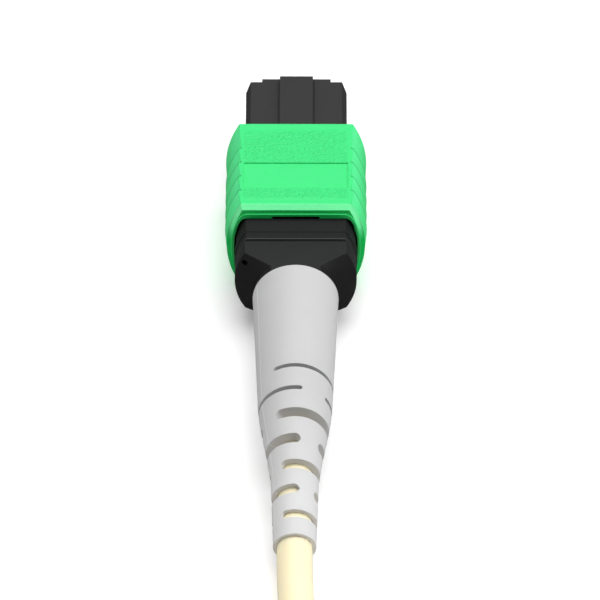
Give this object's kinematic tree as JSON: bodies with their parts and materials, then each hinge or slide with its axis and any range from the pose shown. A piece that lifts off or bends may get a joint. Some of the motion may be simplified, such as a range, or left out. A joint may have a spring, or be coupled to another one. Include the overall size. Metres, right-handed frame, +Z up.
{
  "type": "mpo breakout cable",
  "caption": "Multi-fibre push-on plug with green sliding sleeve and slotted grey boot on a yellow round cable that ends in its fan-out fitting.",
  "frame": {"origin": "on the surface the plug lies on, under the middle of the connector with its boot", "axes": "+Y from the boot towards the mating end, +Z up through the key, +X to the right seen from the boot"},
  "size_m": [0.0306, 0.1613, 0.009],
  "materials": {
    "green_sleeve": "satin moulded plastic",
    "black_housing": "satin moulded plastic",
    "grey_boot": "matte elastomer",
    "yellow_jacket": "satin cable jacket",
    "crimp_metal": "plated",
    "clamp_metal": "stamped",
    "spring_steel": "drawn wire",
    "ferrule_resin": "glass-filled resin",
    "bare_fibre": "polished glass",
    "ribbon": "coated ribbon",
    "tie_strap": "hook and loop"
  },
  "bodies": {
    "root": {"inner_housing": "black_housing", "rear_body": "black_housing", "crimp_sleeve": "crimp_metal", "boot": "grey_boot", "cable_root": "yellow_jacket", "fibre_ribbon": "ribbon", "ferrule_spring": "spring_steel", "coupling_spring_left": "spring_steel", "coupling_spring_right": "spring_steel", "trunk_cable": "yellow_jacket", "trunk_hank": "yellow_jacket", "trunk_tail": "yellow_jacket", "hank_tie": "tie_strap", "fanout_boot": "black_housing", "fanout_body": "crimp_metal", "fanout_cap": "black_housing", "leg_outlets": "black_housing"},
    "sleeve": {"coupling_sleeve": "green_sleeve"},
    "ferrule": {"mt_ferrule": "ferrule_resin", "pin_clamp": "clamp_metal", "ferrule_boot": "grey_boot", "fibre_array": "bare_fibre"}
  },
  "joints": [
    {"name": "sleeve_slide", "type": "slide", "parent": "root", "child": "sleeve", "axis": [0, -1, 0], "range_m": [0, 0.0025], "stiffness_N_per_m": 900, "springref_m": -0.0012, "deforming": ["coupling_spring_left", "coupling_spring_right"]},
    {"name": "ferrule_float", "type": "slide", "parent": "root", "child": "ferrule", "axis": [0, -1, 0], "range_m": [0, 0.0008], "stiffness_N_per_m": 4000, "springref_m": -0.002, "deforming": ["ferrule_spring", "fibre_ribbon"]}
  ]
}
